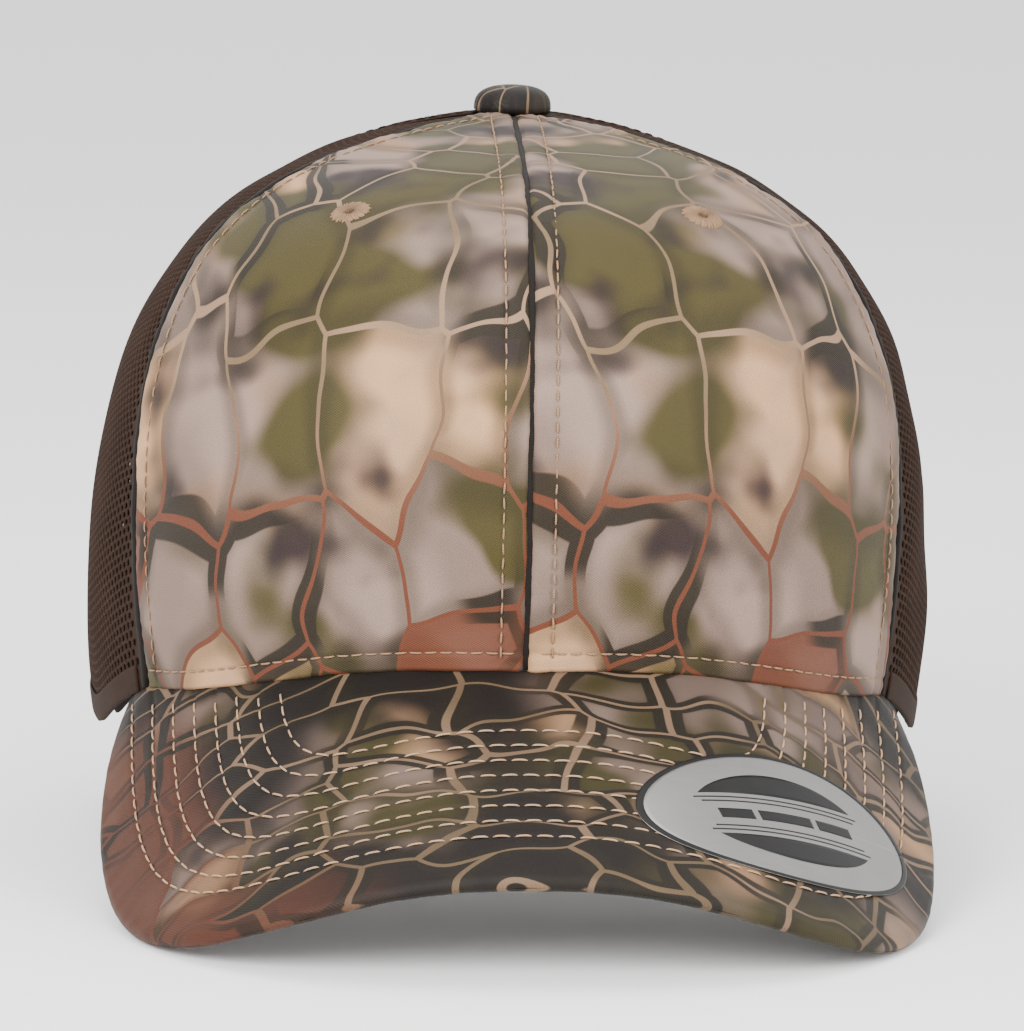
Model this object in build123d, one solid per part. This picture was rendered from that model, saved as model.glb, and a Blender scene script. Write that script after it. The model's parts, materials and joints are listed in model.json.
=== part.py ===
from build123d import *
import math
import os

# Trucker cap: twill front panels over buckram, mesh sides and back, a curved visor,
# a covered top button and a two-piece snap strap across the rear opening.
# Millimetres. +Z is up, the front faces -Y, the origin is the centre of the head opening.

# Crown, outer surface
HALF_WIDTH = 85.0
FRONT_REACH = 98.8
BACK_REACH = 97.7
PLAN_POWER = 2.1
CROWN_TOP = 125.3
# Control ratios of the quartic profile: bulge low, rise low, bulge mid, rise mid, bulge high, rise high
SIDE_PROFILE = (1.05, 0.14, 0.893, 0.776, 0.693, 0.944)
FRONT_PROFILE = (1.10, 0.562, 1.15, 0.902, 0.693, 0.944)
PROFILE_BLEND = 1.5
SEAM_ANGLES = (55.0, 117.0)
SEAM_GAP_ANGLE = 0.12
APEX_HOLE_RADIUS = 4.0

# Visor
VISOR_CENTRE_Y = -42.0
VISOR_FRONT_Y = -153.0
VISOR_HALF_WIDTH = 84.9
VISOR_PLAN_POWER = 2.94
VISOR_TAPER = 0.10
VISOR_PITCH = 29.0
VISOR_ARCH = 39.1
VISOR_ARCH_SPAN = 75.0
VISOR_ARCH_POWER = 2.41
VISOR_TUCK = 0.3
VISOR_TUCK_ANGLE = 61.5
VISOR_SWEEP_ANGLE = 87.5
COVER_THICKNESS = 0.6
BOARD_THICKNESS = 2.0
BOARD_INSET = 0.7

# Hem line: raised over the visor, level from the temples back
HEM_FRONT = 24.0
HEM_DROP_START = 52.0
HEM_DROP_END = 78.0

# Depths of the layers below the outer surface, as (near face, far face)
TWILL = (0.0, 0.6)
BUCKRAM = (0.7, 1.5)
MESH = (0.0, 0.8)
HEM_TAPE = (0.95, 1.35)
SEAM_TAPE = (1.7, 2.2)
STRAP_TAB = (1.6, 2.8)
SWEATBAND = (3.1, 4.7)
LABEL = (4.85, 5.25)
EYELET = (-0.5, -0.03)
BINDING = (-0.5, 1.35)
BINDING_SLOT = (-0.04, 0.84)
LAYER_GAP = 0.1

TAPE_HALF_WIDTH = 6.0
TAPE_TOP_RADIUS = 13.5
SWEATBAND_RISE = (1.0, 34.0)
HEM_TAPE_RISE = (0.5, 10.0)

# Rear opening
OPENING_HALF_WIDTH = 37.0
OPENING_HEIGHT = 46.0
OPENING_SIDE_HEIGHT = 9.0
BINDING_WIDTH = 7.0
BINDING_LIP = 0.6

# Eyelets
EYELET_ANGLE = 26.5
EYELET_CLIMB = 0.617
EYELET_RADIUS = 5.0
VENT_RADIUS = 1.3

# Button
BUTTON_RADIUS = 8.0
BUTTON_HEIGHT = 4.8
BUTTON_SKIN = 0.5
SHANK_RADIUS = 1.8

# Snap straps
STRAP_HEIGHT = 16.0
STRAP_BOTTOM = 3.0
STRAP_THICKNESS = 1.2
STRAP_GAP = 0.35
STRAP_HINGE_X = 35.0
STRAP_END_X = 34.7
TAB_INNER_X = 36.4
SWEATBAND_END_X = 41.0
HEM_TAPE_END_X = 46.0
HEM_TAPE_START_ANGLE = 64.0
STRAP_REACH = 55.5
STRAP_PITCH = 8.0
SNAP_END_X = 16.0
SNAP_COUNT = 7
SNAP_HOLE_RADIUS = 2.35
PEG_RADIUS = 1.6
PEG_HEAD_RADIUS = 2.0
PEG_LENGTH = 2.6
TAB_OUTER_X = 58.0

# Foil sticker on the visor, an ellipse on the cover's tangent plane
STICKER_CENTRE = (50.0, -117.2)
STICKER_HALF_LENGTH = 34.0
STICKER_HALF_WIDTH = 16.7
STICKER_TURN = 22.9
STICKER_THICKNESS = 0.25

# Blank labels inside, as (start angle, end angle, low rise, high rise)
SIZE_LABEL = (-14.0, 14.0, 7.0, 27.0)
CARE_LABEL = (-102.0, -86.0, 4.0, 30.0)

PANEL_COLUMNS = 21
PANEL_ROWS = 27


def plan_radius(angle):
    """Distance from the axis to the hem line at a plan angle, 0 at the front, in degrees."""
    side = math.sin(math.radians(angle)) / HALF_WIDTH
    ahead = math.cos(math.radians(angle))
    along = ahead / (FRONT_REACH if ahead > 0 else BACK_REACH)
    return (abs(side) ** PLAN_POWER + abs(along) ** PLAN_POWER) ** (-1 / PLAN_POWER)


def arch_surface(x, y):
    """Height of the visor's arched surface, a cylinder pitched down to the front."""
    fall = math.tan(math.radians(VISOR_PITCH)) * (-y - FRONT_REACH)
    return HEM_FRONT - fall - VISOR_ARCH * (abs(x) / VISOR_ARCH_SPAN) ** VISOR_ARCH_POWER


def hem_height(angle):
    """The hem follows the visor across the front and levels out behind the temples."""
    turn = abs((angle + 180) % 360 - 180)
    if turn >= HEM_DROP_END:
        return 0.0
    radius = plan_radius(turn)
    plan = math.radians(turn)
    on_visor = arch_surface(radius * math.sin(plan), -radius * math.cos(plan))
    part = max(0.0, (turn - HEM_DROP_START) / (HEM_DROP_END - HEM_DROP_START))
    return on_visor * (1 - part * part * (3 - 2 * part))


def crown_point(angle, climb):
    """Point of the outer surface: climb runs from 0 at the hem to 1 at the apex."""
    plan = math.radians(angle)
    front = (0.5 + 0.5 * math.cos(plan)) ** PROFILE_BLEND
    ratios = [s + (f - s) * front for s, f in zip(SIDE_PROFILE, FRONT_PROFILE)]
    out_low, up_low, out_mid, up_mid, out_high, up_high = ratios
    left = 1 - climb
    low, mid, high = 4 * left ** 3 * climb, 6 * left ** 2 * climb ** 2, 4 * left * climb ** 3
    out = left ** 4 + low * out_low + mid * out_mid + high * out_high
    up = low * up_low + mid * up_mid + high * up_high + climb ** 4
    radius = plan_radius(angle) * out
    hem = hem_height(angle)
    return Vector(radius * math.sin(plan), -radius * math.cos(plan), hem + (CROWN_TOP - hem) * up)


def crown_normal(angle, climb):
    """Outward unit normal of the crown, by differences."""
    step = 0.002
    low, high = max(climb - step, 0.0), min(climb + step, 1.0)
    up = crown_point(angle, high) - crown_point(angle, low)
    along = crown_point(angle + 0.3, climb) - crown_point(angle - 0.3, climb)
    return along.cross(up).normalized()


def wall_point(angle, climb, depth):
    return crown_point(angle, climb) - crown_normal(angle, climb) * depth


def climb_where(angle, reached):
    """Bisects for the climb at which reached(point) turns true on the way up."""
    low, high = 0.0, 1.0
    for _ in range(40):
        middle = (low + high) / 2
        if reached(crown_point(angle, middle)):
            high = middle
        else:
            low = middle
    return low


def climb_at_radius(angle, radius):
    return climb_where(angle, lambda point: math.hypot(point.X, point.Y) < radius)


def climb_at_rise(angle, rise):
    level = hem_height(angle) + rise
    return climb_where(angle, lambda point: point.Z > level)


def patch(point_at, depth, columns, rows):
    grid = [
        [point_at(i / (columns - 1), j / (rows - 1), depth) for j in range(rows)]
        for i in range(columns)
    ]
    return Face.make_surface_from_array_of_points(grid, tol=0.01, min_deg=3, max_deg=3)


def layer(point_at, depths, columns=PANEL_COLUMNS, rows=PANEL_ROWS):
    """Closed sheet between two depths of one parametric surface."""
    near = patch(point_at, depths[0], columns, rows)
    far = patch(point_at, depths[1], columns, rows)
    walls = [Face.make_surface_from_curves(a, b) for a, b in zip(near.edges(), far.edges())]
    solid = Solid(Shell([near, far, *walls]))
    return solid if solid.volume > 0 else solid.fix()


def panel(start, end, depths):
    """Crown panel between two plan angles, from the hem to the apex hole."""
    first, last = start + SEAM_GAP_ANGLE, end - SEAM_GAP_ANGLE

    def point_at(u, v, depth):
        angle = first + (last - first) * u
        top = climb_at_radius(angle, APEX_HOLE_RADIUS)
        return wall_point(angle, top * v, depth)

    return layer(point_at, depths)


def seam_tape(seam, depths):
    """Tape of even width along the inside of one seam."""

    def point_at(u, v, depth):
        top = climb_at_radius(seam, TAPE_TOP_RADIUS)
        bottom = climb_at_rise(seam, 2.0)
        if seam == 180:
            bottom = climb_at_rise(seam, OPENING_HEIGHT + BINDING_WIDTH + 1.0)
        climb = bottom + (top - bottom) * v
        spine = crown_point(seam, climb)
        spread = math.degrees(TAPE_HALF_WIDTH / math.hypot(spine.X, spine.Y))
        return wall_point(seam + spread * (2 * u - 1), climb, depth)

    return layer(point_at, depths, columns=5)


def hem_strip(start, end, rise, depths, columns):
    """Strip that follows the hem between two plan angles."""

    def point_at(u, v, depth):
        angle = start + (end - start) * u
        low, high = climb_at_rise(angle, rise[0]), climb_at_rise(angle, rise[1])
        return wall_point(angle, low + (high - low) * v, depth)

    return layer(point_at, depths, columns=columns, rows=7)


def rear_angle(x):
    """Plan angle on the rear wall at a distance x to the side of the centre."""
    low, high = 90.0, 180.0
    for _ in range(40):
        middle = (low + high) / 2
        if plan_radius(middle) * math.sin(math.radians(middle)) > abs(x):
            low = middle
        else:
            high = middle
    return math.copysign(low, x)


def arch_prism(grow):
    """Block with the rear opening's outline, grown by a margin, running out through the back."""
    half = OPENING_HALF_WIDTH + grow
    rise = OPENING_HEIGHT - OPENING_SIDE_HEIGHT + grow
    with BuildPart() as prism:
        with BuildSketch(Plane.XZ.offset(-40)):
            with BuildLine():
                side_top = OPENING_SIDE_HEIGHT
                Polyline((-half, side_top), (-half, -20), (half, -20), (half, side_top))
                EllipticalCenterArc((0, OPENING_SIDE_HEIGHT), half, rise, start_angle=0, arc_size=180)
            make_face()
        extrude(amount=-90)
    return prism.part


def opening_binding():
    """Folded tape of U section over the edge of the rear opening."""

    def point_at(u, v, depth):
        reach = OPENING_HALF_WIDTH + BINDING_WIDTH + 6
        side = rear_angle(reach)
        angle = side + (360 - 2 * side) * u
        high = climb_at_rise(angle, OPENING_HEIGHT + BINDING_WIDTH + 6)
        return wall_point(angle, high * v, depth)

    whole = layer(point_at, BINDING)
    slot = layer(point_at, BINDING_SLOT)
    band = (whole & arch_prism(BINDING_WIDTH)) - arch_prism(0)
    return band - (slot - arch_prism(BINDING_LIP))


def visor_layer(depths, inset):
    """Visor sheet: its rear edge is tucked under the crown, its front edge is the outline."""

    def plan_point(u, v):
        tuck = VISOR_TUCK_ANGLE * u
        radius = plan_radius(tuck) - VISOR_TUCK
        rear = (radius * math.sin(math.radians(tuck)), -radius * math.cos(math.radians(tuck)))
        sweep = math.radians(VISOR_SWEEP_ANGLE * u)
        side, ahead = math.sin(sweep), math.cos(sweep)
        length = VISOR_CENTRE_Y - VISOR_FRONT_Y - inset
        width = VISOR_HALF_WIDTH - inset
        reach = (abs(side / width) ** VISOR_PLAN_POWER + abs(ahead / length) ** VISOR_PLAN_POWER)
        reach = reach ** (-1 / VISOR_PLAN_POWER)
        taper = 1 - VISOR_TAPER * abs(u * VISOR_SWEEP_ANGLE / 90) ** 8
        front = (reach * side * taper, VISOR_CENTRE_Y - reach * ahead)
        return [a + (b - a) * v for a, b in zip(rear, front)]

    def point_at(s, v, depth):
        u = 2 * s - 1
        x, y = plan_point(u, v)
        tuck = math.radians(VISOR_TUCK_ANGLE * u)
        radius = plan_radius(VISOR_TUCK_ANGLE * u)
        at_hem = arch_surface(radius * math.sin(tuck), -radius * math.cos(tuck))
        sink = at_hem - hem_height(VISOR_TUCK_ANGLE * u)
        return Vector(x, y, arch_surface(x, y) - sink) + arch_normal(x) * -depth

    return layer(point_at, depths, columns=25, rows=9)


def arch_slope(x):
    """Sideways slope of the visor's arched surface."""
    steep = VISOR_ARCH * VISOR_ARCH_POWER / VISOR_ARCH_SPAN
    return -math.copysign(steep * (abs(x) / VISOR_ARCH_SPAN) ** (VISOR_ARCH_POWER - 1), x)


def arch_normal(x):
    """Unit normal of the visor's arched surface."""
    return Vector(-arch_slope(x), -math.tan(math.radians(VISOR_PITCH)), 1).normalized()


def visor_sticker():
    """Oval foil on the visor's top cover."""
    centre_x, centre_y = STICKER_CENTRE

    def point_at(u, v, depth):
        x = centre_x + (2 * u - 1) * (STICKER_HALF_LENGTH + 3)
        y = centre_y + (2 * v - 1) * (STICKER_HALF_LENGTH + 3)
        return Vector(x, y, arch_surface(x, y)) - arch_normal(x) * depth

    sheet = layer(point_at, (-STICKER_THICKNESS, -0.03), columns=13, rows=5)
    normal = arch_normal(centre_x)
    downhill = Vector(0, -1, -math.tan(math.radians(VISOR_PITCH))).normalized()
    centre = Vector(centre_x, centre_y, arch_surface(centre_x, centre_y))
    lie = Plane(origin=centre, x_dir=normal.cross(downhill), z_dir=normal)
    oval = Rot(0, 0, STICKER_TURN) * Ellipse(STICKER_HALF_LENGTH, STICKER_HALF_WIDTH)
    return sheet & extrude(lie * oval, amount=40, both=True)


def ring_at_eyelet(side):
    """Embroidered ring round one vent hole, and the vent's drill."""
    angle = side * EYELET_ANGLE

    def point_at(u, v, depth):
        spread = math.degrees((EYELET_RADIUS + 2) / 80)
        climb = EYELET_CLIMB + (2 * v - 1) * 0.055
        return wall_point(angle + spread * (2 * u - 1), climb, depth)

    centre = crown_point(angle, EYELET_CLIMB)
    lie = Plane(origin=centre, z_dir=crown_normal(angle, EYELET_CLIMB))
    drill = extrude(lie * Circle(VENT_RADIUS), amount=4, both=True)
    disc = extrude(lie * Circle(EYELET_RADIUS), amount=4, both=True)
    return (layer(point_at, EYELET, columns=5, rows=5) & disc) - drill, drill


def turned(points):
    """Solid of revolution about the cap's axis from (radius, height) corners."""
    outline = make_face(Plane.XZ * Polyline(*points, close=True))
    return revolve(outline, Axis.Z)


def button_nodes():
    base = CROWN_TOP + LAYER_GAP

    def dome(radius, height):
        ball = (radius ** 2 + height ** 2) / (2 * height)
        above = Pos(0, 0, base + height / 2) * Cylinder(2 * radius, height)
        return Pos(0, 0, base + height - ball) * Sphere(ball) & above

    skin = dome(BUTTON_RADIUS, BUTTON_HEIGHT)
    shell = dome(BUTTON_RADIUS - BUTTON_SKIN, BUTTON_HEIGHT - BUTTON_SKIN)
    core = dome(BUTTON_RADIUS - 2 * BUTTON_SKIN, BUTTON_HEIGHT - 2 * BUTTON_SKIN)
    under = CROWN_TOP - STRAP_TAB[1]
    back_radius = BUTTON_RADIUS - 2 * BUTTON_SKIN - 0.3
    flange = SHANK_RADIUS + 2.2
    return {
        "button_cover": skin - shell,
        "button_shell": shell - core,
        "button_back": turned([
            (SHANK_RADIUS + 0.05, base), (back_radius, base),
            (back_radius - 0.8, base + 0.8), (SHANK_RADIUS + 0.05, base + 0.8),
        ]),
        "button_rivet": turned([
            (0, under - 1.4), (flange, under - 1.4), (flange, under - 0.8),
            (SHANK_RADIUS, under - 0.8), (SHANK_RADIUS, base + 0.9), (flange, base + 0.9),
            (flange, base + 1.5), (0, base + 1.5),
        ]),
        "button_washer": turned([
            (SHANK_RADIUS + 0.05, under - 0.55), (BUTTON_RADIUS, under - 0.9),
            (BUTTON_RADIUS, under - 0.4), (SHANK_RADIUS + 0.05, under - 0.05),
        ]),
    }


def strap_tab(side):
    """Sewn end of a strap, between the mesh and the sweatband."""
    first, last = sorted((rear_angle(TAB_INNER_X), rear_angle(TAB_OUTER_X)))

    def point_at(u, v, depth):
        angle = side * (first + (last - first) * u)
        low = climb_at_rise(angle, STRAP_BOTTOM)
        high = climb_at_rise(angle, STRAP_BOTTOM + STRAP_HEIGHT)
        return wall_point(angle, low + (high - low) * v, depth)

    return layer(point_at, STRAP_TAB, columns=7, rows=5)


def strap_line():
    """Middle of the tab's thickness at the hinge: the y of the straight straps."""
    angle = rear_angle(STRAP_HINGE_X)
    rise = climb_at_rise(angle, STRAP_BOTTOM + STRAP_HEIGHT / 2)
    return wall_point(angle, rise, (STRAP_TAB[0] + STRAP_TAB[1]) / 2).Y


def strap_blade(side, face_y):
    """Straight strap with a rounded tip, its hinge end at side * STRAP_HINGE_X."""
    middle = STRAP_BOTTOM + STRAP_HEIGHT / 2
    tip = STRAP_HEIGHT / 2
    straight = STRAP_REACH - tip
    blade = Rectangle(straight, STRAP_HEIGHT) + Pos(straight / 2, 0) * Circle(tip)
    shift = STRAP_END_X - straight / 2
    lie = Plane(origin=(0, face_y, middle), x_dir=(-side, 0, 0), z_dir=(0, 1, 0))
    return extrude(lie * Pos(-shift, 0) * blade, amount=STRAP_THICKNESS)


def snap_places(side):
    """The x of each snap: both rows share the middle ones when the strap is closed."""
    return [side * (STRAP_PITCH * i - SNAP_END_X) for i in range(SNAP_COUNT)]


def hole_strap():
    """Outer strap, hinged on the right, with a row of holes."""
    blade = strap_blade(-1, strap_line() + STRAP_GAP / 2)
    middle = STRAP_BOTTOM + STRAP_HEIGHT / 2
    for x in snap_places(-1):
        blade -= extrude(
            Plane(origin=(x, strap_line(), middle), z_dir=(0, 1, 0)) * Circle(SNAP_HOLE_RADIUS),
            amount=5,
            both=True,
        )
    return blade


def peg_strap():
    """Inner strap, hinged on the left, with pegs that snap out through the holes."""
    face_y = strap_line() - STRAP_GAP / 2
    blade = strap_blade(1, face_y - STRAP_THICKNESS)
    middle = STRAP_BOTTOM + STRAP_HEIGHT / 2
    for x in snap_places(1):
        foot = Plane(origin=(x, face_y - 0.3, middle), z_dir=(0, 1, 0))
        blade += extrude(foot * Circle(PEG_RADIUS), amount=PEG_LENGTH + 0.3)
        head = Plane(origin=(x, face_y + PEG_LENGTH - 0.8, middle), z_dir=(0, 1, 0))
        blade += extrude(head * Circle(PEG_HEAD_RADIUS), amount=0.8)
    return blade


def build_nodes():
    nodes = {}
    for side, name in ((1, "left"), (-1, "right")):
        bounds = [side * angle for angle in (0.0, *SEAM_ANGLES, 180.0)]
        front, flank, rear = (sorted(pair) for pair in zip(bounds, bounds[1:]))
        ring, drill = ring_at_eyelet(side)
        nodes[f"front_panel_{name}"] = panel(*front, TWILL) - drill
        nodes[f"buckram_{name}"] = panel(*front, BUCKRAM) - drill
        nodes[f"eyelet_{name}"] = ring
        nodes[f"side_mesh_{name}"] = panel(*flank, MESH)
        nodes[f"rear_mesh_{name}"] = panel(*rear, MESH) - arch_prism(BINDING_LIP)
        nodes[f"seam_tape_front_{name}"] = seam_tape(side * SEAM_ANGLES[0], SEAM_TAPE)
        nodes[f"seam_tape_side_{name}"] = seam_tape(side * SEAM_ANGLES[1], SEAM_TAPE)
        ends = sorted((side * HEM_TAPE_START_ANGLE, side * rear_angle(HEM_TAPE_END_X)))
        nodes[f"hem_tape_{name}"] = hem_strip(*ends, HEM_TAPE_RISE, HEM_TAPE, columns=25)
    nodes["seam_tape_front_centre"] = seam_tape(0.0, SEAM_TAPE)
    nodes["seam_tape_rear_centre"] = seam_tape(180.0, SEAM_TAPE)
    band_end = rear_angle(SWEATBAND_END_X)
    bands = {
        "sweatband_front": (-SEAM_ANGLES[0], SEAM_ANGLES[0]),
        "sweatband_left": (SEAM_ANGLES[0], band_end),
        "sweatband_right": (-band_end, -SEAM_ANGLES[0]),
    }
    for name, (start, end) in bands.items():
        span = (start + SEAM_GAP_ANGLE, end - SEAM_GAP_ANGLE)
        nodes[name] = hem_strip(*span, SWEATBAND_RISE, SWEATBAND, columns=31)
    nodes["size_label"] = hem_strip(*SIZE_LABEL[:2], SIZE_LABEL[2:], LABEL, columns=7)
    nodes["care_label"] = hem_strip(*CARE_LABEL[:2], CARE_LABEL[2:], LABEL, columns=7)
    nodes["opening_binding"] = opening_binding()

    cover_top = 0.05
    board_top = cover_top + COVER_THICKNESS + LAYER_GAP
    under_top = board_top + BOARD_THICKNESS + LAYER_GAP
    nodes["visor_top_cover"] = visor_layer((cover_top, cover_top + COVER_THICKNESS), 0.0)
    nodes["visor_board"] = visor_layer((board_top, board_top + BOARD_THICKNESS), BOARD_INSET)
    nodes["visor_under_cover"] = visor_layer((under_top, under_top + COVER_THICKNESS), 0.0)
    nodes["visor_sticker"] = visor_sticker()

    nodes.update(button_nodes())
    nodes["hole_strap_tab"] = strap_tab(-1)
    nodes["peg_strap_tab"] = strap_tab(1)
    nodes["hole_strap"] = hole_strap()
    nodes["peg_strap"] = peg_strap()
    return nodes


os.makedirs("parts", exist_ok=True)
for node, shape in build_nodes().items():
    shape.label = node
    export_step(shape, f"parts/{node}.step")
print(f"strap hinges at x = {STRAP_HINGE_X}, y = {strap_line():.3f}")
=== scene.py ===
"""Looks of the trucker cap: cloth, mesh, thread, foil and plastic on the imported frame."""
import json
import math
import bmesh
import bpy
import numpy as np
from mathutils import Matrix, Vector

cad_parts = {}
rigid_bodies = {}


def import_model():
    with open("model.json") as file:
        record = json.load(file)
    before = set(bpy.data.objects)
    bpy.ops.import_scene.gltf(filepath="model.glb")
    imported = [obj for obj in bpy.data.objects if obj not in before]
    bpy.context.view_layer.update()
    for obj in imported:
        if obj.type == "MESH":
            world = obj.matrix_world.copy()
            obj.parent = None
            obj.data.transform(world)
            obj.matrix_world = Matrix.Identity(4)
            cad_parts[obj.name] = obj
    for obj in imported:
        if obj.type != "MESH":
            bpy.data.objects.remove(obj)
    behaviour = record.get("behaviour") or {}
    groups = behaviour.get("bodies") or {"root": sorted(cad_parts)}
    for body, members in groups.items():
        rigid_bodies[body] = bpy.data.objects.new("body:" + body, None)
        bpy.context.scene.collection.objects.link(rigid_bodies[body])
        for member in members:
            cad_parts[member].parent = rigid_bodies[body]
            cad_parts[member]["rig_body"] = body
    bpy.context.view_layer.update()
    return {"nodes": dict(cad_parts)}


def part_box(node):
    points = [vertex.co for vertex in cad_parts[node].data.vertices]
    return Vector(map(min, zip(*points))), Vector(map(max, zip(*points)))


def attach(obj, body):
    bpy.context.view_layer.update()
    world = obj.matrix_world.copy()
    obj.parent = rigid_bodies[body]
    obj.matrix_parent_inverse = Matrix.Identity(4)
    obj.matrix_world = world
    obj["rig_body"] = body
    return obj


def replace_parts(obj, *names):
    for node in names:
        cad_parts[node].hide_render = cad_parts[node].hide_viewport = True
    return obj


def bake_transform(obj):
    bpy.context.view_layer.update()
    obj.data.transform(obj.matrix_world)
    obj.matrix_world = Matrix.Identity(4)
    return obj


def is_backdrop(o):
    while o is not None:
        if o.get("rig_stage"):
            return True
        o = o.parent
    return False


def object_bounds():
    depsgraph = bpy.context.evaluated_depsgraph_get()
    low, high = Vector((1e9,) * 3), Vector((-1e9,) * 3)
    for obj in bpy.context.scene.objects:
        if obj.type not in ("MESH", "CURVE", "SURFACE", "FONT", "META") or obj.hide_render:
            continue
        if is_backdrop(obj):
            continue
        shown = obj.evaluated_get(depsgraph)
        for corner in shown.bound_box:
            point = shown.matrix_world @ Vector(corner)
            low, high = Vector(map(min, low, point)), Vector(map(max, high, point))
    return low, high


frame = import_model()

MM = 0.001

# ---------------------------------------------------------------- sizes, in millimetres
def box_mm(node):
    low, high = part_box(node)
    return np.array(low) / MM, np.array(high) / MM

# Crown formula, as in the CAD: its driving dimensions and the quartic profile's control ratios
HALF_WIDTH, FRONT_REACH, BACK_REACH, PLAN_POWER = 85.0, 98.8, 97.7, 2.1
CROWN_TOP = box_mm("button_cover")[0][2] - 0.1
SIDE_PROFILE = np.array((1.05, 0.14, 0.893, 0.776, 0.693, 0.944))
FRONT_PROFILE = np.array((1.10, 0.562, 1.15, 0.902, 0.693, 0.944))
FRONT_SEAM, SIDE_SEAM = 55.0, 117.0
APEX_RADIUS = 4.0
HEM_FRONT, HEM_DROP_START, HEM_DROP_END = 24.0, 52.0, 78.0

VISOR_CENTRE_Y, VISOR_FRONT_Y = -42.0, -153.0
VISOR_HALF_WIDTH, VISOR_POWER, VISOR_TAPER = 84.9, 2.94, 0.10
VISOR_SLOPE = math.tan(math.radians(29.0))
ARCH, ARCH_SPAN, ARCH_POWER = 39.1, 75.0, 2.41
VISOR_TUCK, TUCK_ANGLE, SWEEP_ANGLE = 1.1, 61.5, 87.5

COVER, BOARD_DEPTH, LAYER_GAP, COVER_TOP = 0.6, 2.0, 0.1, 0.05
EDGE_ROLL = 1.72
ROW_COUNT = 8
STITCH_PITCH, VISOR_STITCH_PITCH, PRINT_REPEAT = 3.0, 4.1, 71.0
PANEL_STITCH, HEM_STITCH = 5.0, 4.0
TWILL, STIFFENER, UNDER_TAPE = (0.0, 0.62), (0.85, 1.5), (1.72, 2.2)
FOLD_DEPTHS = (-0.12, 0.5)
MESH_REACH, MESH_FRONT, MESH_BACK, MESH_HOLE = 1.12, 0.05, 0.75, 0.66
BAND_END_X, HEM_TAPE_END_X, HEM_FOLD_END_X = 41.0, 46.0, 44.0
HINGE_HEIGHT = 11.0

OPENING_HALF, OPENING_TOP, OPENING_SIDE, BINDING_WIDTH = 37.0, 46.0, 9.0, 7.0
EYELET_ANGLE, EYELET_CLIMB, EYELET_RADIUS = 26.5, 0.617, 4.9
STICKER_CENTRE, STICKER_AXES, STICKER_TURN = (50.0, -117.2), (34.0, 16.7), 22.9
MARK_BASE = 0.235

# ---------------------------------------------------------------- shape of the crown and visor
def superellipse(across, along, power):
    return (np.abs(across) ** power + np.abs(along) ** power) ** (1 / power)


def plan_radius(angle):
    ahead = np.cos(np.radians(angle))
    along = ahead / np.where(ahead > 0, FRONT_REACH, BACK_REACH)
    return 1 / superellipse(np.sin(np.radians(angle)) / HALF_WIDTH, along, PLAN_POWER)


def row_length(row):
    """Row 0 is the outermost."""
    return 99.4 - 3.93 * row


def row_width(row):
    return 76.6 - 4.1 * row


def row_power(row):
    return 3.4 + 0.37 * row


def arch_surface(x, y):
    fall = VISOR_SLOPE * (-y - FRONT_REACH)
    return HEM_FRONT - fall - ARCH * (np.abs(x) / ARCH_SPAN) ** ARCH_POWER


def arch_normal(x):
    steep = ARCH * ARCH_POWER / ARCH_SPAN * (np.abs(x) / ARCH_SPAN) ** (ARCH_POWER - 1)
    normal = np.stack([np.sign(x) * steep, np.full_like(x, -VISOR_SLOPE), np.ones_like(x)], -1)
    return unit(normal)


def unit(v):
    return v / np.maximum(np.linalg.norm(v, axis=-1, keepdims=True), 1e-12)


def hem_height(angle):
    turn = np.abs((angle + 180) % 360 - 180)
    radius, plan = plan_radius(turn), np.radians(turn)
    on_visor = arch_surface(radius * np.sin(plan), -radius * np.cos(plan))
    part = np.clip((turn - HEM_DROP_START) / (HEM_DROP_END - HEM_DROP_START), 0, 1)
    return np.where(turn < HEM_DROP_END, on_visor * (1 - part * part * (3 - 2 * part)), 0.0)


def crown(angle, climb):
    angle, climb = np.broadcast_arrays(np.asarray(angle, float), np.asarray(climb, float))
    plan = np.radians(angle)
    front = (0.5 + 0.5 * np.cos(plan)) ** 1.5
    ratios = [s + (f - s) * front for s, f in zip(SIDE_PROFILE, FRONT_PROFILE)]
    left = 1 - climb
    low, mid, high = 4 * left ** 3 * climb, 6 * left ** 2 * climb ** 2, 4 * left * climb ** 3
    out = left ** 4 + low * ratios[0] + mid * ratios[2] + high * ratios[4]
    up = low * ratios[1] + mid * ratios[3] + high * ratios[5] + climb ** 4
    radius, hem = plan_radius(angle) * out, hem_height(angle)
    return np.stack([radius * np.sin(plan), -radius * np.cos(plan), hem + (CROWN_TOP - hem) * up], -1)


def crown_normal(angle, climb):
    step = 0.002
    up = crown(angle, np.minimum(climb + step, 1)) - crown(angle, np.maximum(climb - step, 0))
    along = crown(np.asarray(angle) + 0.3, climb) - crown(np.asarray(angle) - 0.3, climb)
    return unit(np.cross(along, up))


def wall(angle, climb, depth):
    return crown(angle, climb) - crown_normal(angle, climb) * np.asarray(depth)[..., None]


def climb_where(angle, reached):
    low, high = np.zeros_like(angle, float), np.ones_like(angle, float)
    for _ in range(30):
        middle = (low + high) / 2
        yes = reached(crown(angle, middle))
        low, high = np.where(yes, low, middle), np.where(yes, middle, high)
    return low


def climb_at_radius(angle, radius):
    angle = np.asarray(angle, float)
    return climb_where(angle, lambda p: np.hypot(p[..., 0], p[..., 1]) < radius)


def climb_at_rise(angle, rise):
    angle = np.asarray(angle, float)
    level = hem_height(angle) + rise
    return climb_where(angle, lambda p: p[..., 2] > level)


def rear_angle(x):
    low, high = 90.0, 180.0
    for _ in range(40):
        middle = (low + high) / 2
        if plan_radius(middle) * math.sin(math.radians(middle)) > abs(x):
            low = middle
        else:
            high = middle
    return low


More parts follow.
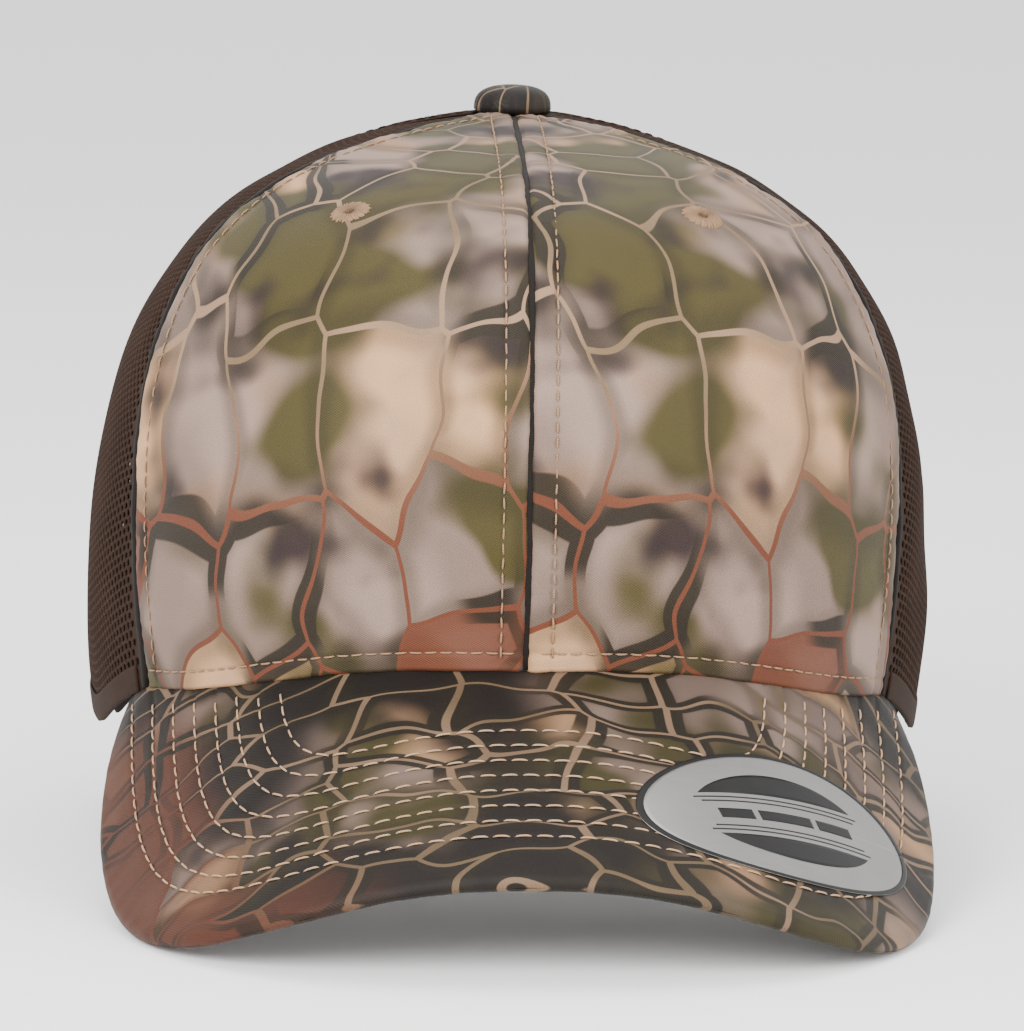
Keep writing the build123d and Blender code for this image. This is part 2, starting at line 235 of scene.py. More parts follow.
# ---------------------------------------------------------------- meshes
def add_mesh(name, points, faces, uvs, material):
    """Object from points in mm, faces of vertex numbers, and a UV in mm for each vertex."""
    mesh = bpy.data.meshes.new(name)
    mesh.from_pydata((np.asarray(points) * MM).tolist(), [], [tuple(map(int, f)) for f in faces])
    layer = mesh.uv_layers.new(name="cloth")
    index = np.empty(len(mesh.loops), np.int32)
    mesh.loops.foreach_get("vertex_index", index)
    layer.data.foreach_set("uv", (np.asarray(uvs)[index] * MM).astype(np.float32).ravel())
    mesh.polygons.foreach_set("use_smooth", [True] * len(mesh.polygons))
    mesh.materials.append(material)
    mesh.validate()
    piece = bpy.data.objects.new(name, mesh)
    bpy.context.scene.collection.objects.link(piece)
    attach(piece, "crown")
    return piece


def grid_faces(rows, columns, start=0, flip=False):
    index = start + np.arange(rows * columns).reshape(rows, columns)
    quads = np.stack([index[:-1, :-1], index[1:, :-1], index[1:, 1:], index[:-1, 1:]], -1).reshape(-1, 4)
    return quads[:, ::-1] if flip else quads


def add_sheet(name, near, far, uv, material):
    """Closed sheet between two grids of points (u, v, 3) in mm."""
    rows, columns = near.shape[:2]
    count = rows * columns
    index = np.arange(count).reshape(rows, columns)
    ring = np.concatenate([index[:, 0], index[-1, 1:], index[-2::-1, -1], index[0, -2:0:-1]])
    after = np.roll(ring, -1)
    edge = np.stack([ring, ring + count, after + count, after], -1)
    faces = np.concatenate([grid_faces(rows, columns), grid_faces(rows, columns, count, True), edge])
    points = np.concatenate([near.reshape(-1, 3), far.reshape(-1, 3)])
    uvs = np.concatenate([uv.reshape(-1, 2)] * 2)
    return add_mesh(name, points, faces, uvs, material)


def lay_flat(piece, whole=None):
    """Its flat size is its UV's. Works out its area, the UV's faces', or whole if it has holes; the area is
    not kept, and the piece comes back unchanged.
    """
    mesh = piece.data
    uv = np.empty(len(mesh.loops) * 2, np.float32)
    mesh.uv_layers["cloth"].data.foreach_get("uv", uv)
    uv = uv.reshape(-1, 2).astype(float)
    area = 0.0
    for face in mesh.polygons:
        a = uv[face.loop_start:face.loop_start + face.loop_total]
        b = np.roll(a, -1, axis=0)
        area += abs(float((a[:, 0] * b[:, 1] - a[:, 1] * b[:, 0]).sum())) / 2
    area = area / 2 if whole is None else whole
    return piece


def wall_sheet(name, angle, climb, near, far, uv, material):
    """Closed sheet between two depths below the crown's surface."""
    return add_sheet(name, wall(angle, climb, near), wall(angle, climb, far), uv, material)


def spread(length, fine, coarse, margin):
    """Places from 0 to length, closer together within a margin of both ends."""
    margin = min(margin, length / 3)
    ends = np.arange(0, margin, fine)
    count = max(int((length - 2 * margin) / coarse), 2)
    return np.concatenate([ends, np.linspace(margin, length - margin, count), length - ends[::-1]])


def meridian(angle, count=400):
    """Arc lengths from the hem up, and the climbs that they belong to."""
    top = float(climb_at_radius(angle, APEX_RADIUS))
    climbs = np.linspace(0, top, count)
    steps = np.linalg.norm(np.diff(crown(angle, climbs), axis=0), axis=1)
    return np.concatenate([[0], np.cumsum(steps)]), climbs


def waves(x, y, seed, size):
    """Smooth repeatable unevenness of about -1 to 1."""
    rng = np.random.default_rng(seed)
    total = np.zeros(np.broadcast(x, y).shape)
    for _ in range(5):
        turn, phase = rng.uniform(0, 2 * math.pi, 2)
        wave = 2 * math.pi / (size * rng.uniform(0.7, 1.5))
        total += np.sin(wave * (x * math.cos(turn) + y * math.sin(turn)) + phase)
    return total / 3


def crown_sheet(name, start, end, depths, material, shift=0.0, shape=None, edge=0.0):
    """Crown panel: cloth between two plan angles, from the hem to the apex."""
    middle = (start + end) / 2
    lengths, climbs = meridian(middle)
    base = math.radians(end - start) * float(plan_radius(middle))
    across = spread(base, 0.35, 2.0, 7.0) / base
    upward = spread(lengths[-1], 0.35, 1.6, 6.0)
    angle = (start + (end - start) * across)[:, None]
    climb = np.interp(upward, lengths, climbs)[None, :] + 0 * angle
    angle = angle + 0 * climb
    place = crown(angle, climb)
    radius = np.hypot(place[..., 0], place[..., 1])
    left, right = np.radians(angle - start) * radius, np.radians(end - angle) * radius
    rise = upward[None, :] + 0 * angle
    bump = shape(left, right, rise) if shape else 0 * rise
    nearest = np.minimum(np.minimum(left, right), np.minimum(rise, lengths[-1] - rise))
    half = (depths[1] - depths[0]) / 2
    closing = np.clip(1 - nearest / max(edge, 1e-6), 0, 1) ** 2 * half * 0.9 if edge else 0 * rise
    near, far = depths[0] + bump + closing, depths[1] + bump - closing
    uv = np.stack([(left - right) / 2 + shift, rise], -1)
    return wall_sheet(name, angle, climb, near, far, uv, material)


def hem_sheet(name, start, end, rise, depths, material, count, shape=None):
    """Strip along the hem, with soft edges."""
    angle = np.linspace(start, end, count)[:, None]
    share = (1 - np.cos(np.linspace(0, math.pi, 18))) / 2
    low, high = climb_at_rise(angle, rise[0]), climb_at_rise(angle, rise[1])
    climb = low + (high - low) * share[None, :]
    angle = angle + 0 * climb
    height = (rise[1] - rise[0]) * share[None, :] + 0 * angle
    run = np.radians(angle - start) * 88
    half = (depths[1] - depths[0]) / 2
    across = np.abs(2 * share[None, :] - 1) ** 8 * half * 0.85
    bump = shape(run, height) if shape else 0
    uv = np.stack([run, height], -1)
    return wall_sheet(name, angle, climb, depths[0] + across + bump, depths[1] - across, uv, material)


def thread_points(path, normals, pitch, length, radius, lift=0.12, sides=7, rings=7):
    """Stitches as short rounded threads along a path, dipping into the cloth at both ends."""
    run = np.concatenate([[0], np.cumsum(np.linalg.norm(np.diff(path, axis=0), axis=1))])
    count = max(int(run[-1] / pitch), 1)
    starts = (run[-1] - count * pitch) / 2 + pitch * np.arange(count) + (pitch - length) / 2
    share = np.linspace(0, 1, rings)
    at = starts[:, None] + length * share[None, :]
    centre = np.stack([np.interp(at, run, path[:, k]) for k in range(3)], -1)
    up = unit(np.stack([np.interp(at, run, normals[:, k]) for k in range(3)], -1))
    ahead = unit(np.gradient(centre, axis=1))
    side = unit(np.cross(ahead, up))
    sway = np.sin(np.arange(count) * 2.4)[:, None] * (share - 0.5)[None, :] * 0.16
    arch = (1 - np.abs(2 * share - 1) ** 3)[None, :, None]
    centre = centre + up * (lift * arch - radius * 0.9 * (1 - arch)) + side * sway[..., None]
    girth = radius * np.sqrt(np.clip(1 - np.abs(2 * share - 1) ** 6, 0.05, 1))[None, :, None, None]
    turn = np.linspace(0, 2 * math.pi, sides, endpoint=False)[None, None, :, None]
    around = side[:, :, None] * np.cos(turn) * 1.15 + up[:, :, None] * np.sin(turn)
    points = (centre[:, :, None] + around * girth).reshape(-1, 3)
    ring = np.arange(sides)
    quads = np.stack([ring, (ring + 1) % sides, (ring + 1) % sides + sides, ring + sides], -1)
    one = np.concatenate([quads + sides * k for k in range(rings - 1)])
    faces = [list(f) for f in (one[None] + (np.arange(count) * sides * rings)[:, None, None]).reshape(-1, 4)]
    for k in range(count):
        first = k * sides * rings
        faces.append(list(range(first, first + sides))[::-1])
        faces.append(list(range(first + sides * (rings - 1), first + sides * rings)))
    uv = np.stack(np.broadcast_arrays(at[:, :, None], np.arange(sides)[None, None, :] * 0.2), -1)
    return points, faces, uv.reshape(-1, 2)


def add_threads(name, paths, material, pitch=STITCH_PITCH, length=2.5, radius=0.17):
    """One piece holding the stitches of several (path, normals) runs."""
    points, faces, uvs, count = [], [], [], 0
    for path, normals in paths:
        p, f, uv = thread_points(np.asarray(path), np.asarray(normals), pitch, length, radius)
        points.append(p)
        uvs.append(uv)
        faces += [[i + count for i in face] for face in f]
        count += len(p)
    return add_mesh(name, np.concatenate(points), faces, np.concatenate(uvs), material)


def crown_run(angles, climbs, depth=-0.05):
    angles, climbs = np.asarray(angles, float), np.asarray(climbs, float)
    return wall(angles, climbs, depth + 0 * climbs), crown_normal(angles, climbs)


def seam_run(seam, offset, low=2.0, high_radius=9.0, depth=-0.05, count=160):
    """Path beside a seam at a signed distance in mm, from above the hem to the button."""
    climb = np.linspace(float(climb_at_rise(seam, low)), float(climb_at_radius(seam, high_radius)), count)
    spine = crown(seam, climb)
    angle = seam + np.degrees(offset / np.hypot(spine[..., 0], spine[..., 1]))
    return crown_run(angle, climb, depth)


def hem_run(start, end, rise, depth=-0.05, count=200):
    angle = np.linspace(start, end, count)
    return crown_run(angle, climb_at_rise(angle, rise), depth)


# ---------------------------------------------------------------- materials
class Paint:
    """Short forms for building one material's nodes."""

    def __init__(self, name, **sockets):
        self.material = bpy.data.materials.new(name)
        self.material.use_nodes = True
        self.tree = self.material.node_tree
        self.shader = self.tree.nodes["Principled BSDF"]
        for socket, value in sockets.items():
            self.shader.inputs[socket.replace("_", " ")].default_value = value
        self.uv = self.scaled(self.add("UVMap", uv_map="cloth"), (1000, 1000, 1000))
        self.x, self.y = self.parts(self.uv)[:2]

    def link(self, source, target):
        if isinstance(source, (int, float)):
            target.default_value = source
        elif isinstance(source, tuple):
            target.default_value = (*source, 1.0)[:len(target.default_value)]
        else:
            self.tree.links.new(source, target)

    def add(self, kind, *sources, output=0, **facts):
        """A new node's output. Sources go to its inputs in order; a fact is an input's name or a setting."""
        node = self.tree.nodes.new("ShaderNode" + kind)
        for name, value in facts.items():
            if name in node.inputs:
                self.link(value, node.inputs[name])
            else:
                setattr(node, name, value)
        for source, target in zip(sources, node.inputs):
            self.link(source, target)
        return node.outputs[output]

    def parts(self, vector):
        return list(self.add("SeparateXYZ", vector).node.outputs)

    def scaled(self, vector, factors):
        return self.add("VectorMath", vector, factors, operation="MULTIPLY")

    def shifted(self, vector, offset):
        return self.add("VectorMath", vector, offset, operation="ADD")

    def math(self, kind, a, b=0.0, clamp=False):
        return self.add("Math", a, b, operation=kind, use_clamp=clamp)

    def times(self, a, b):
        return self.math("MULTIPLY", a, b)

    def plus(self, a, b, clamp=False):
        return self.math("ADD", a, b, clamp)

    def step(self, value, low, high):
        """0 below low, 1 above high, smooth between."""
        return self.add("MapRange", value, low, high, interpolation_type="SMOOTHSTEP")

    def mix(self, share, a, b, kind="MIX"):
        node = self.add("Mix", share, data_type="RGBA", blend_type=kind).node
        self.link(a, node.inputs[6])
        self.link(b, node.inputs[7])
        return node.outputs[2]

    def noise(self, size, detail=2.0, vector=None, seed=0.0, output=0):
        """Noise whose features are about size mm across."""
        source = self.shifted(self.uv if vector is None else vector, (seed * 31.0, seed * 17.0, seed))
        return self.add("TexNoise", source, Scale=1 / size, Detail=detail, output=output)

    def ripple(self, value, pitch):
        """Sine from 0 to 1 that repeats each pitch mm."""
        wave = self.math("SINE", self.times(value, 2 * math.pi / pitch))
        return self.plus(self.times(wave, 0.5), 0.5)

    def bump(self, height, depth, strength=1.0):
        """Relief of that depth in mm."""
        self.link(self.add("Bump", Strength=strength, Distance=depth * MM, Height=height),
                  self.shader.inputs["Normal"])

    def done(self, color, roughness=None):
        self.link(color, self.shader.inputs["Base Color"])
        if roughness is not None:
            self.link(roughness, self.shader.inputs["Roughness"])
        return self.material


NET_BEND, NET_TOP = 88, 150
LILAC, PALE_LILAC = (0.142, 0.094, 0.073), (0.200, 0.136, 0.107)
OLIVE, DARK_OLIVE = (0.040, 0.031, 0.007), (0.014, 0.010, 0.003)
PLUM, CREAM, SAND = (0.012, 0.0055, 0.006), (0.420, 0.235, 0.115), (0.240, 0.125, 0.058)
RUST, UMBER, LINE = (0.088, 0.024, 0.010), (0.008, 0.0045, 0.003), (0.200, 0.122, 0.072)


def camo(name, cell, seed, visor=False):
    """Printed twill: a net of long scales over blurred blotches, in earth colours."""
    p = Paint(name, Roughness=0.58, Sheen_Weight=0.02, Sheen_Roughness=0.4, Specular_IOR_Level=0.18)
    drift = p.scaled(p.shifted(p.noise(26, 1, seed=seed + 3, output=1), (-0.5, -0.5, 0)), (16, 20, 0))
    # The net's scales are smaller towards the crown's top
    above = p.times(p.math("SUBTRACT", p.y, NET_BEND), 0.0 if visor else 0.9)
    tall = p.times(p.step(p.y, NET_BEND, NET_TOP), above)
    bent = p.shifted(p.shifted(p.uv, drift), p.add("CombineXYZ", Y=tall))
    scaled = p.scaled(p.shifted(bent, (seed * 11.0, seed * 7.0, 0)), (1 / cell[0], 1 / cell[1], 0))

    def voronoi(feature, output):
        return p.add("TexVoronoi", scaled, voronoi_dimensions="2D", feature=feature, Scale=1.0,
                     Randomness=0.66, output=output)

    def zone(size, low, high, key, detail=1.0):
        return p.step(p.noise(size, detail, seed=seed + key), low, high)

    edge, centre = voronoi("DISTANCE_TO_EDGE", "Distance"), voronoi("F1", "Distance")
    tint = p.parts(voronoi("F1", "Color"))
    ground = p.mix(zone(24, 0.40, 0.62, 0), LILAC, PALE_LILAC)
    ground = p.mix(p.times(zone(30, 0.60, 0.74, 17), 0.8), ground, SAND)
    inner = p.step(p.plus(centre, edge), 0.95, 0.35)
    glow = p.times(p.step(tint[0], 0.80, 0.84), inner)
    ground = p.mix(p.times(glow, 0.9), ground, CREAM)
    ground = p.mix(zone(36, 0.455, 0.55, 1, 2.0), ground, OLIVE)
    ground = p.mix(p.times(zone(26, 0.565, 0.70, 9, 2.0), 0.95), ground, PLUM)
    if visor:
        ground = p.mix(zone(46, 0.40, 0.56, 27), ground, UMBER)
        away = p.plus(p.x, p.times(p.y, 0.5))
        wander = p.times(p.noise(30, 1, seed=seed + 31), 40)
        reddish = p.step(p.plus(away, wander), -95, -125)
        cells = p.step(tint[1], 0.25, 0.45)
    else:
        climb = p.plus(p.y, p.times(p.noise(40, 1, seed=seed + 31), 40))
        reddish = p.step(climb, 84, 52)
        cells = p.times(p.step(tint[1], 0.80, 0.83), p.step(climb, 60, 44))
    ground = p.mix(p.times(p.step(edge, 0.24, 0.05), 0.45), ground, DARK_OLIVE)
    ground = p.mix(p.times(p.times(reddish, cells), 0.88), ground, RUST)
    wide = 0.16 if visor else 0.125
    share = p.times(p.step(edge, wide, wide * 0.86), zone(34, 0.44 if visor else 0.52, 0.60, 41))
    dark = p.mix(p.noise(18, 1, seed=5), UMBER, DARK_OLIVE)
    ground = p.mix(p.times(share, 0.94), ground, dark)
    pale = p.mix(zone(30, 0.42, 0.6, 51), LINE, p.mix(0.5, OLIVE, LINE))
    thin = 0.040 if visor else 0.024
    core = p.step(edge, thin, thin * 0.7)
    ground = p.mix(core, ground, p.mix(reddish, pale, RUST))
    twill = p.ripple(p.plus(p.x, p.times(p.y, 1.7)), 0.78)
    fibre = p.noise(0.35, 2)
    shade = p.plus(p.times(twill, 0.14), p.plus(p.times(fibre, 0.26), 0.80))
    shade = p.times(shade, 0.56 if visor else 1.0)
    p.bump(p.plus(twill, fibre), 0.05, 0.8)
    return p.done(p.mix(1.0, ground, p.add("CombineXYZ", shade, shade, shade), "MULTIPLY"))


def woven(name, base, light, pitch, roughness=0.8, depth=0.06, slant=0.0, fleck=0.3, sheen=0.01):
    """Plain or slanted weave with uneven colour and lint."""
    p = Paint(name, Roughness=roughness, Sheen_Weight=sheen, Sheen_Roughness=0.5, Specular_IOR_Level=0.12)
    warp = p.ripple(p.plus(p.x, p.times(p.y, slant)), pitch)
    weft = p.ripple(p.math("SUBTRACT", p.y, p.times(p.x, slant)), pitch)
    weave = p.times(warp, weft)
    patchy = p.plus(p.times(p.noise(9, 3), 0.7), p.times(p.noise(0.5, 2), fleck))
    share = p.plus(p.times(weave, 0.45), p.times(patchy, 0.6), clamp=True)
    p.bump(p.plus(weave, p.noise(0.5, 2)), depth)
    return p.done(p.mix(share, base, light))


def thread_material(name, base, light):
    p = Paint(name, Roughness=0.75, Sheen_Weight=0.02, Specular_IOR_Level=0.12)
    ply = p.ripple(p.plus(p.x, p.times(p.y, 0.9)), 0.5)
    uneven = p.noise(6, 2)
    p.bump(p.plus(ply, p.noise(0.2, 1)), 0.05)
    share = p.plus(p.times(ply, 0.5), p.times(uneven, 0.5))
    return p.done(p.mix(share, base, light))


def knit_material():
    p = Paint("brown_knit", Roughness=0.8, Specular_IOR_Level=0.10)
    yarn = p.ripple(p.plus(p.y, p.times(p.x, 0.6)), 0.45)
    tone = p.plus(p.times(p.noise(14, 3), 0.6), p.times(yarn, 0.35))
    p.bump(p.plus(yarn, p.noise(0.25, 2)), 0.07)
    return p.done(p.mix(tone, (0.008, 0.0040, 0.0026), (0.034, 0.0175, 0.0105)))


def plastic_material(name, base, light, roughness=0.42):
    p = Paint(name, Specular_IOR_Level=0.25)
    grain, scuff = p.noise(0.8, 3), p.noise(7, 4, seed=4)
    p.bump(p.plus(grain, p.times(scuff, 0.5)), 0.02)
    rough = p.plus(roughness - 0.1, p.times(scuff, 0.2))
    return p.done(p.mix(p.step(scuff, 0.45, 0.8), base, light), rough)


def metal_material(name, base, light, across, roughness=0.34):
    """Brushed metal: fine scratches along one way."""
    p = Paint(name, Metallic=1.0)
    lines = p.noise(1.0, 3, vector=p.scaled(p.uv, across))
    p.bump(lines, 0.012)
    rough = p.plus(roughness - 0.08, p.times(lines, 0.18))
    cloudy = p.plus(p.times(lines, 0.6), p.times(p.noise(12, 2), 0.4))
    return p.done(p.mix(cloudy, base, light), rough)


CLOTH_FRONT = camo("camo_front", (20.0, 33.0), 3.0)
CLOTH_VISOR = camo("camo_visor", (22.0, 10.0), 5.0, visor=True)
CLOTH_BUTTON = camo("camo_button", (7.0, 9.0), 8.0, visor=True)
KNIT = knit_material()
TAN_THREAD = thread_material("tan_thread", (0.110, 0.062, 0.033), (0.330, 0.205, 0.120))
CREAM_THREAD = thread_material("cream_thread", (0.170, 0.105, 0.060), (0.430, 0.290, 0.180))
BROWN_THREAD = thread_material("brown_thread", (0.008, 0.0040, 0.0026), (0.034, 0.0175, 0.0105))
# Near-black, used only for the strips in the front seam creases: painted shade in the grooves
SEAM_SHADE_BLACK = thread_material("seam_shade_black", (0.002, 0.0018, 0.0015), (0.012, 0.009, 0.007))
TAPE = woven("brown_tape", (0.008, 0.0045, 0.003), (0.034, 0.020, 0.013), 0.9, slant=0.5)
BAND = woven("brown_band", (0.010, 0.006, 0.0045), (0.040, 0.025, 0.018), 0.7, 0.9, 0.09, sheen=0.02)
BUCKRAM = woven("buckram_weave", (0.140, 0.125, 0.100), (0.420, 0.395, 0.345), 1.1, depth=0.16, fleck=0.2)
SATIN = woven("label_satin", (0.260, 0.245, 0.215), (0.480, 0.460, 0.420), 0.4, roughness=0.45, depth=0.03)
STRAP = plastic_material("strap_plastic", (0.012, 0.0065, 0.0045), (0.028, 0.017, 0.011))
BOARD = plastic_material("visor_board", (0.012, 0.0115, 0.011), (0.030, 0.029, 0.027), 0.55)
STEEL = metal_material("button_steel", (0.16, 0.15, 0.135), (0.34, 0.33, 0.30), (3.0, 3.0, 1.0))
FOIL = metal_material("sticker_foil", (0.20, 0.195, 0.185), (0.34, 0.335, 0.325), (0.12, 6.0, 1.0), 0.42)
INK = plastic_material("sticker_ink", (0.001, 0.001, 0.001), (0.005, 0.0049, 0.0046), 0.45)
PRINT = woven("label_print", (0.018, 0.018, 0.018), (0.055, 0.052, 0.048), 0.4, roughness=0.5, depth=0.02)
SIDES = (("left", 1), ("right", -1))


def span(side, start, end):
    return sorted((side * start, side * end))


# ---------------------------------------------------------------- crown
def panel_shape(seed, inner_seam):
    """Depth changes of a front panel: rolled seams, stitch grooves, puckers and soft unevenness."""

    def shape(left, right, rise):
        seam, flank = (left, right) if inner_seam == "left" else (right, left)
        depth = 0 * rise
        for gap, width in ((seam, 1.5), (flank, 1.3)):
            depth += 0.95 * np.clip(1 - gap / width, 0, 1) ** 2
            depth += 0.16 * np.exp(-((gap - PANEL_STITCH) / 0.55) ** 2)
            depth -= 0.22 * np.sin(np.pi * np.clip(gap / PANEL_STITCH, 0, 1))
            pull = np.exp(-gap / PANEL_STITCH)
            depth += 0.10 * pull * np.sin(rise * 2 * np.pi / STITCH_PITCH + seed)
            depth += 0.16 * pull * waves(rise, gap * 0.3, seed + 7, 9.0)
        depth += 0.14 * np.exp(-((rise - HEM_STITCH) / 0.5) ** 2) + 0.6 * np.clip(1 - rise, 0, 1) ** 2
        depth += 0.12 * np.exp(-rise / 4.0) * waves(left, 0 * rise, seed + 3, 8.0)
        return depth - 0.28 * waves(left, rise, seed, 34.0) - 0.10 * waves(left, rise, seed + 5, 13.0)

    return shape


def knit_panel(name, start, end, keep=None):
    """Knitted mesh: a lattice of six-sided holes between ridged strands, with real openings."""
    middle = (start + end) / 2
    lengths, climbs = meridian(middle)
    half_angle = math.radians(end - start) / 2
    reach, pitch = MESH_REACH, MESH_REACH * math.sqrt(3)
    faces, known, cells = [], {}, 0

    def half_width(t):
        spine = crown(middle, np.interp(t, lengths, climbs))
        return np.hypot(spine[..., 0], spine[..., 1]) * half_angle

    t_table = np.linspace(0, lengths[-1], 300)
    w_table = half_width(t_table)
    flat, depth = [], []

    def vertex(s, t, down, key=None):
        if key is not None and key in known:
            return known[key]
        t = min(max(t, 0.0), lengths[-1])
        w = np.interp(t, t_table, w_table)
        flat.append((min(max(s, -w), w) / w, t, min(max(s, -w), w)))
        depth.append(down)
        if key is not None:
            known[key] = len(flat) - 1
        return len(flat) - 1

    for row in range(int(lengths[-1] / (1.5 * reach)) + 2):
        t = row * 1.5 * reach
        w = float(np.interp(min(t, lengths[-1]), t_table, w_table))
        for column in range(-int(w / pitch) - 2, int(w / pitch) + 3):
            s = (column + 0.5 * (row % 2)) * pitch
            if abs(s) > w + pitch * 0.4 or keep and not keep(middle + math.degrees(half_angle) * s / w, t):
                continue
            cells += 1
            corners = [(s + reach * math.sin(k * math.pi / 3), t + reach * math.cos(k * math.pi / 3))
                       for k in range(6)]
            keys = [(round(a * 20), round(b * 20)) for a, b in corners]
            front = [vertex(a, b, MESH_FRONT, ("f", *k)) for (a, b), k in zip(corners, keys)]
            back = [vertex(a, b, MESH_BACK, ("b", *k)) for (a, b), k in zip(corners, keys)]
            if abs(s) > w - 2.6 or t < 2.4 or t > lengths[-1] - 5:
                faces.append(tuple(front[::-1]))
                faces.append(tuple(back))
                continue
            jitter = 0.05 * math.sin(row * 12.9 + column * 78.2)
            rims = []
            wide, tall = (MESH_HOLE + jitter) * 0.94, MESH_HOLE - jitter
            for down in (0.20, 0.60):
                rims.append([vertex(s + (a - s) * wide, t + (b - t) * tall, down) for a, b in corners])
            for k in range(6):
                n = (k + 1) % 6
                faces.append((front[n], front[k], rims[0][k], rims[0][n]))
                faces.append((rims[0][n], rims[0][k], rims[1][k], rims[1][n]))
                faces.append((rims[1][n], rims[1][k], back[k], back[n]))
    flat, depth = np.array(flat), np.array(depth)
    angle = middle + math.degrees(half_angle) * flat[:, 0]
    climb = np.interp(flat[:, 1], lengths, climbs)
    w = np.interp(flat[:, 1], t_table, w_table)
    to_edge = w - np.abs(flat[:, 2])
    sag = 0.55 * np.exp(-to_edge / 2.5) + 0.35 * waves(flat[:, 2], flat[:, 1], 3 + int(abs(start)), 30.0)
    points = wall(angle, climb, depth + sag)
    twin = {number: known[("b", *key[1:])] for key, number in known.items() if key[0] == "f"}
    piece = add_mesh(name, points, close_edges(faces, twin), flat[:, [2, 1]], KNIT)
    return lay_flat(piece, whole=cells * 1.5 * math.sqrt(3) * (reach * MM) ** 2)


def close_edges(faces, twin):
    """Adds walls along the knit's outer edges; twin gives each front point's point at the back."""
    edges = {(a, b) for face in faces for a, b in zip(face, (*face[1:], face[0]))
             if a in twin and b in twin}
    walls = [(b, a, twin[a], twin[b]) for a, b in sorted(edges) if (b, a) not in edges]
    return faces + walls


def front_of_cap():
    for name, side in SIDES:
        start, end = span(side, 0.0, FRONT_SEAM)
        seam = "left" if side > 0 else "right"
        width = math.radians(FRONT_SEAM) * float(plan_radius(FRONT_SEAM / 2))
        shift = width - PRINT_REPEAT if side > 0 else 0.0
        panel = crown_sheet(f"cloth_front_{name}", start, end, TWILL, CLOTH_FRONT, shift=shift,
                            shape=panel_shape(11 + side, seam), edge=0.7)
        vent_hole(panel, side)
        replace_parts(lay_flat(panel), f"front_panel_{name}")
        stiffener = crown_sheet(f"buckram_sheet_{name}", start, end, STIFFENER, BUCKRAM,
                                edge=0.4, shape=lambda a, b, t: 0.12 * np.clip(waves(a, t, 5, 20.0), -1, 1))
        vent_hole(stiffener, side)
        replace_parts(lay_flat(stiffener), f"buckram_{name}")


def vent_hole(piece, side):
    """Opens the cloth under an eyelet by dropping the faces inside it."""
    centre = crown(side * EYELET_ANGLE, EYELET_CLIMB) * MM
    mesh = piece.data
    doomed = [p.index for p in mesh.polygons if (p.center - Vector(centre)).length < 1.9 * MM]
    work = bmesh.new()
    work.from_mesh(mesh)
    work.faces.ensure_lookup_table()
    bmesh.ops.delete(work, geom=[work.faces[i] for i in doomed], context="FACES")
    rims = [e for e in work.edges if e.is_boundary]
    if rims:
        bmesh.ops.bridge_loops(work, edges=rims)
    work.to_mesh(mesh)
    work.free()


def mesh_of_cap():
    def behind(angle, t):
        spot = crown(angle, 0.0)
        if abs(spot[0]) > OPENING_HALF + 3:
            return True
        half, rise = OPENING_HALF + 2.5, OPENING_TOP - OPENING_SIDE + 2.5
        inside = abs(spot[0]) / half
        top = OPENING_SIDE + rise * math.sqrt(max(0.0, 1 - inside * inside))
        return t > top

    for name, side in SIDES:
        start, end = span(side, FRONT_SEAM, SIDE_SEAM)
        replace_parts(knit_panel(f"knit_side_{name}", start, end), f"side_mesh_{name}")
        start, end = span(side, SIDE_SEAM, 180.0)
        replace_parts(knit_panel(f"knit_rear_{name}", start, end, behind), f"rear_mesh_{name}")


def tape_strip(name, seam, half, low, high_radius, depths, material, node=None, ridge=0.0):
    """Tape of even width along a seam."""
    climb = np.linspace(float(climb_at_rise(seam, low)), float(climb_at_radius(seam, high_radius)), 90)
    spine = crown(seam, climb)
    across = (1 - np.cos(np.linspace(0, math.pi, 15))) / 2 * 2 - 1
    angle = seam + np.degrees(half / np.hypot(spine[:, 0], spine[:, 1]))[None, :] * across[:, None]
    climb = climb[None, :] + 0 * angle
    thick = (depths[1] - depths[0]) / 2
    closing = np.abs(across[:, None]) ** 6 * thick * 0.9
    run = np.concatenate([[0], np.cumsum(np.linalg.norm(np.diff(spine, axis=0), axis=1))])
    bump = 0.08 * waves(run[None, :], across[:, None], 4, 10.0) - ridge * np.cos(across[:, None] * math.pi / 2)
    uv = np.stack(np.broadcast_arrays(half * across[:, None], run[None, :]), -1)
    piece = wall_sheet(name, angle, climb, depths[0] + closing + bump, depths[1] - closing, uv, material)
    if node:
        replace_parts(lay_flat(piece), node)
    return piece


def seams_inside():
    rise = OPENING_TOP + BINDING_WIDTH + 1
    tapes = [("front_centre", 0.0, 2.5), ("rear_centre", 180.0, rise)]
    for name, side in SIDES:
        tapes += [(f"front_{name}", side * FRONT_SEAM, 2.5), (f"side_{name}", side * SIDE_SEAM, 2.5)]
    for place, seam, low in tapes:
        tape_strip(f"tape_{place}", seam, 6, low, 13.5, UNDER_TAPE, TAPE, f"seam_tape_{place}")


def seams_outside():
    """Raised folds of the rear seams, and near-black strips set into the front seams' creases, which are
    painted shade in the grooves between the rolled panel edges.
    """
    rise = OPENING_TOP + BINDING_WIDTH - 2
    folds = [("rear_centre", 180.0, 2.6, rise, 8.5, FOLD_DEPTHS, KNIT, None, 0.3)]
    for name, side in SIDES:
        folds += [(f"side_{name}", side * SIDE_SEAM, 2.6, 0.4, 8.5, FOLD_DEPTHS, KNIT, None, 0.3),
                  # near-black strip in the crease beside each front seam: painted shade in the groove
                  (f"front_{name}", side * (FRONT_SEAM + 0.55), 1.0, 0.6, 8.5, (0.12, 1.2), SEAM_SHADE_BLACK,
                   None, 0.2)]
    # near-black strip in the centre seam's crease: painted shade in the groove
    folds.append(("front_centre", 0.0, 0.75, 0.6, 8.0, (0.40, 1.3), SEAM_SHADE_BLACK, None, 0.15))
    for name, *facts in folds:
        tape_strip(f"fold_{name}", *facts)


